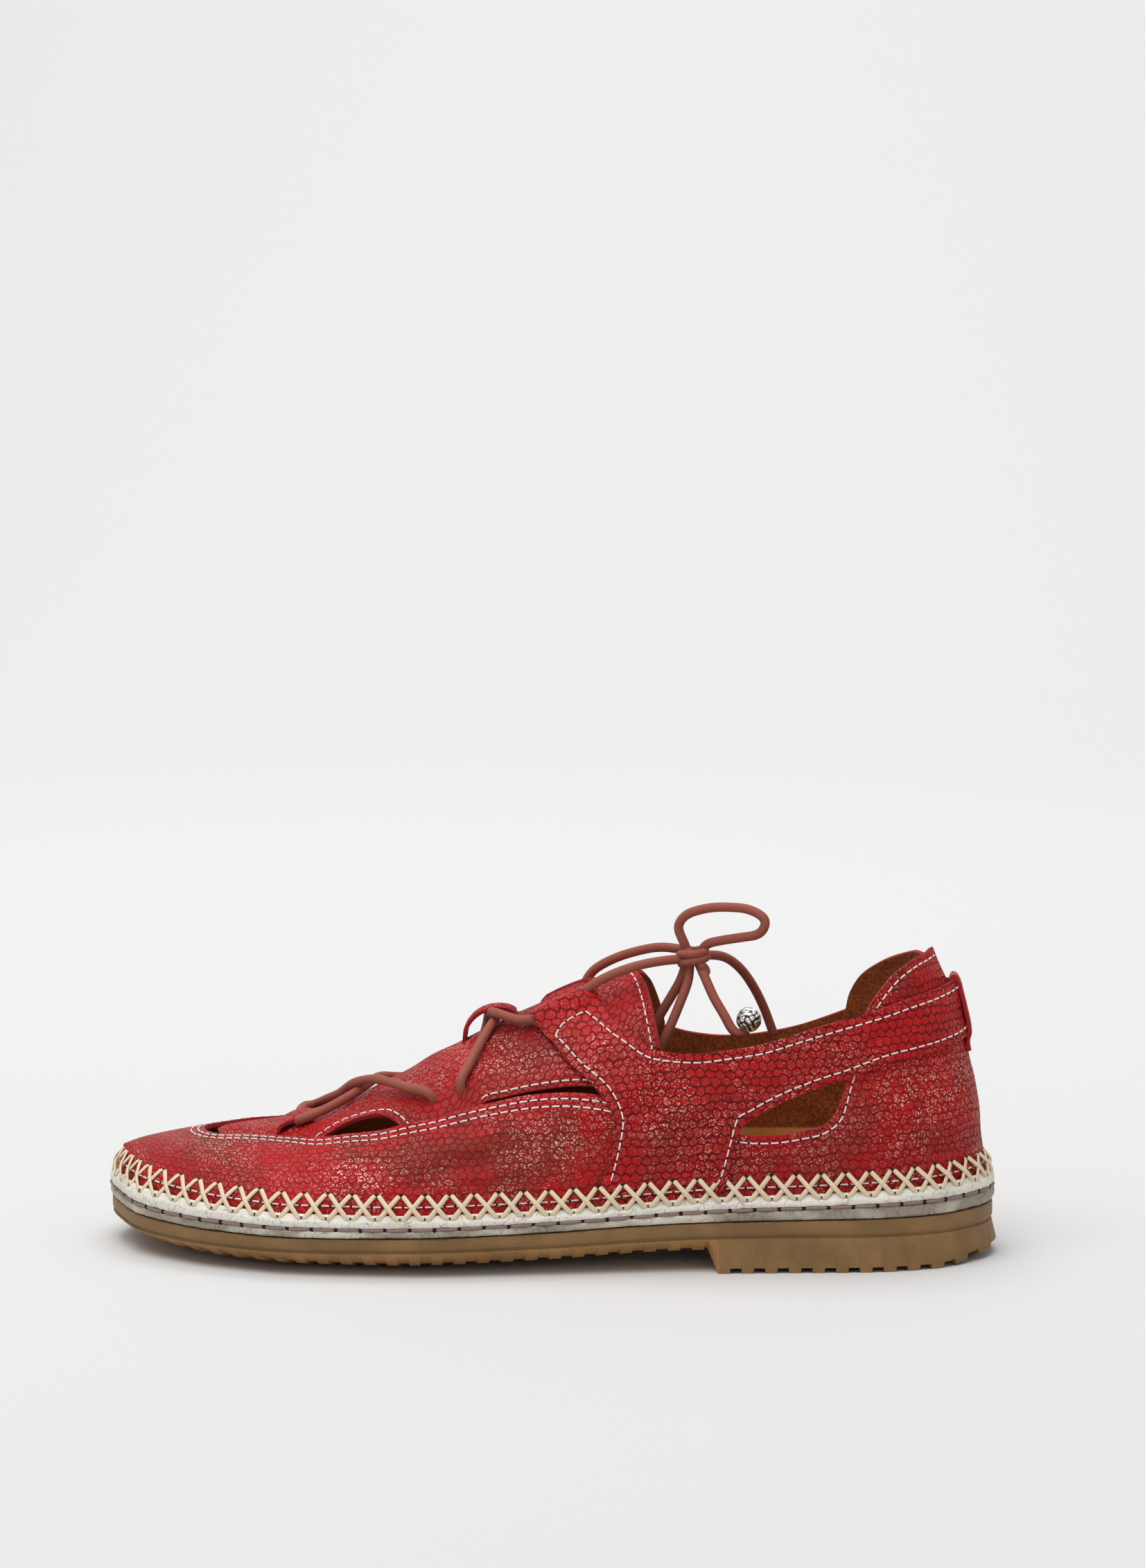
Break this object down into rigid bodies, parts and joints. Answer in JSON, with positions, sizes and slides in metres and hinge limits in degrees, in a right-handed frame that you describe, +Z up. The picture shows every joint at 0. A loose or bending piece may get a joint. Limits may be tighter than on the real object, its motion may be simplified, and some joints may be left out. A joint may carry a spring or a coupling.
{
  "type": "lace-up leather shoe",
  "caption": "Soft red snake-embossed leather casual shoe, left foot, with cross-stitched silver band, gum rubber sole and elastic lace with bow.",
  "frame": {"origin": "on the floor under the middle of the shoe's length and width, measured without the free lace", "axes": "+X from the middle to the heel, so the toe is at -X; -Y is the outer (lateral) side of the left foot; +Z up from the floor"},
  "size_m": [0.2626, 0.0924, 0.1037],
  "materials": {
    "gum_rubber": "matte caramel gum rubber",
    "foil_leather_light": "crinkled silver foil on leather",
    "foil_leather_grey": "crinkled silver-grey foil on leather",
    "red_leather": "snake-embossed, with worn pink and gold foil speckle",
    "tan_leather": "smooth tan sock leather",
    "elastic_cord": "ribbed braid",
    "bead_metal": "aged silver filigree"
  },
  "bodies": {
    "root": {"outsole": "gum_rubber", "midsole": "foil_leather_grey", "rand": "foil_leather_light", "insole": "tan_leather", "upper": "red_leather", "tongue": "red_leather", "heel_strap": "red_leather", "heel_loop": "red_leather", "keeper_front": "red_leather", "keeper_mid": "red_leather", "lace_cross_front": "elastic_cord", "lace_cross_rear": "elastic_cord", "lace_run_lateral": "elastic_cord", "lace_run_medial": "elastic_cord", "lace_knot": "elastic_cord", "lace_loop_top": "elastic_cord", "lace_loop_hanging": "elastic_cord", "lace_end_far": "elastic_cord", "lace_end_bead": "elastic_cord", "bead": "bead_metal"}
  },
  "joints": []
}
